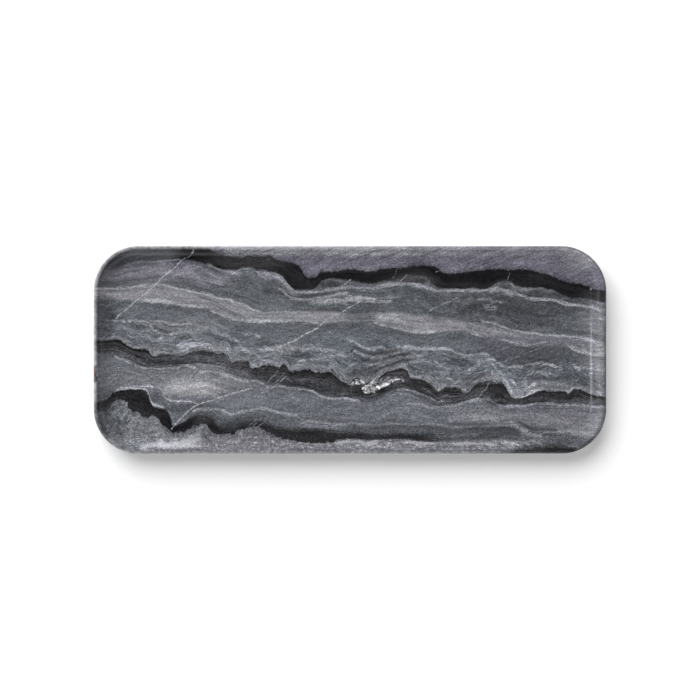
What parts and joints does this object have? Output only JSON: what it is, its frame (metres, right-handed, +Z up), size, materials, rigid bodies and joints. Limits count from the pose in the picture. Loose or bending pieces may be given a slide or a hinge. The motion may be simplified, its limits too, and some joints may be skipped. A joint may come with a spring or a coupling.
{
  "type": "marble tray",
  "caption": "Long shallow stone tray with rounded corners and a coved well, standing on stick-on rubber pads.",
  "frame": {"origin": "under the middle of the tray, on the plane that its pads stand on", "axes": "+X along the tray's length, to the right in the picture; +Y across it, to the picture's top; +Z up"},
  "size_m": [0.4, 0.162, 0.0184],
  "materials": {
    "marble": "honed and polished dark grey marble, banded and veined",
    "pad_rubber": "matt black moulded rubber",
    "foam_tape": "matt off-white double-sided foam tape"
  },
  "bodies": {
    "root": {"marble_body": "marble", "rubber_pad_front_left": "pad_rubber", "rubber_pad_front_right": "pad_rubber", "rubber_pad_back_left": "pad_rubber", "rubber_pad_back_right": "pad_rubber", "tape_disc_front_left": "foam_tape", "tape_disc_front_right": "foam_tape", "tape_disc_back_left": "foam_tape", "tape_disc_back_right": "foam_tape"}
  },
  "joints": []
}
